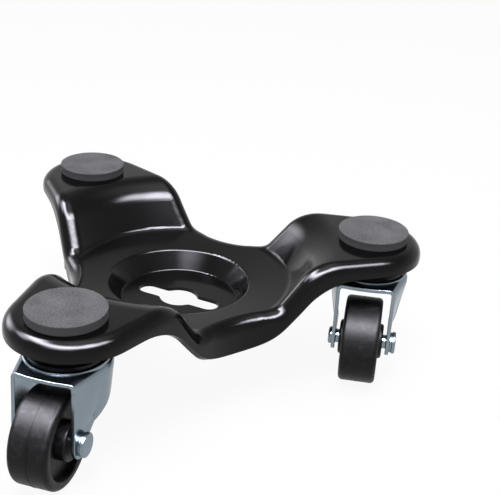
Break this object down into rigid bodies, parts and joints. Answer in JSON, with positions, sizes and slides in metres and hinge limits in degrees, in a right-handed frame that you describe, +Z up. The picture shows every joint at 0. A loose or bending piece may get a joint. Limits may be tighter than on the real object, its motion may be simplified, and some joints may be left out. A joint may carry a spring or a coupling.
{
  "type": "tri-dolly",
  "caption": "Furniture dolly with a pressed black steel deck of radiating arms round a dished, slotted hub, round grey pads on top and zinc-plated swivel casters below.",
  "frame": {"origin": "on the floor, straight under the middle of the hub", "axes": "+Z up; -Y towards the front arm; +X towards the right"},
  "size_m": [0.2486, 0.2422, 0.086],
  "materials": {
    "black_paint": "gloss",
    "foam_rubber": "matte",
    "zinc_steel": "bright zinc plate",
    "bearing_steel": "polished",
    "black_plastic": "satin"
  },
  "bodies": {
    "deck": {"deck_plate": "black_paint", "front_pad": "foam_rubber", "front_kingpin": "zinc_steel", "front_upper_race": "black_paint", "front_retainer": "zinc_steel", "right_pad": "foam_rubber", "right_kingpin": "zinc_steel", "right_upper_race": "black_paint", "right_retainer": "zinc_steel", "left_pad": "foam_rubber", "left_kingpin": "zinc_steel", "left_upper_race": "black_paint", "left_retainer": "zinc_steel"},
    "front_swivel": {"front_fork": "zinc_steel", "front_axle": "zinc_steel", "front_axle_washer": "zinc_steel", "front_axle_sleeve": "zinc_steel"},
    "front_balls": {"front_upper_balls": "bearing_steel", "front_lower_balls": "bearing_steel"},
    "front_roller": {"front_wheel": "black_plastic"},
    "right_swivel": {"right_fork": "zinc_steel", "right_axle": "zinc_steel", "right_axle_washer": "zinc_steel", "right_axle_sleeve": "zinc_steel"},
    "right_balls": {"right_upper_balls": "bearing_steel", "right_lower_balls": "bearing_steel"},
    "right_roller": {"right_wheel": "black_plastic"},
    "left_swivel": {"left_fork": "zinc_steel", "left_axle": "zinc_steel", "left_axle_washer": "zinc_steel", "left_axle_sleeve": "zinc_steel"},
    "left_balls": {"left_upper_balls": "bearing_steel", "left_lower_balls": "bearing_steel"},
    "left_roller": {"left_wheel": "black_plastic"}
  },
  "joints": [
    {"name": "front_swivel_turn", "type": "hinge", "parent": "deck", "child": "front_swivel", "pos_m": [0, -0.1105, 0.061], "axis": [0, 0, 1], "continuous": true},
    {"name": "front_ball_turn", "type": "hinge", "parent": "deck", "child": "front_balls", "pos_m": [0, -0.1105, 0.061], "axis": [0, 0, 1], "continuous": true},
    {"name": "front_wheel_spin", "type": "hinge", "parent": "front_swivel", "child": "front_roller", "pos_m": [0.00296, -0.13028, 0.025], "axis": [0.989, 0.1478, 0], "continuous": true},
    {"name": "right_swivel_turn", "type": "hinge", "parent": "deck", "child": "right_swivel", "pos_m": [0.0957, 0.05525, 0.061], "axis": [0, 0, 1], "continuous": true},
    {"name": "right_ball_turn", "type": "hinge", "parent": "deck", "child": "right_balls", "pos_m": [0.0957, 0.05525, 0.061], "axis": [0, 0, 1], "continuous": true},
    {"name": "right_wheel_spin", "type": "hinge", "parent": "right_swivel", "child": "right_roller", "pos_m": [0.10121, 0.03603, 0.025], "axis": [0.9613, 0.2756, 0], "continuous": true},
    {"name": "left_swivel_turn", "type": "hinge", "parent": "deck", "child": "left_swivel", "pos_m": [-0.0957, 0.05525, 0.061], "axis": [0, 0, 1], "continuous": true},
    {"name": "left_ball_turn", "type": "hinge", "parent": "deck", "child": "left_balls", "pos_m": [-0.0957, 0.05525, 0.061], "axis": [0, 0, 1], "continuous": true},
    {"name": "left_wheel_spin", "type": "hinge", "parent": "left_swivel", "child": "left_roller", "pos_m": [-0.08451, 0.03867, 0.025], "axis": [0.829, 0.5592, 0], "continuous": true}
  ],
  "couplings": [
    {"joint": "front_ball_turn", "follows": "front_swivel_turn", "ratio": 0.5},
    {"joint": "right_ball_turn", "follows": "right_swivel_turn", "ratio": 0.5},
    {"joint": "left_ball_turn", "follows": "left_swivel_turn", "ratio": 0.5}
  ]
}
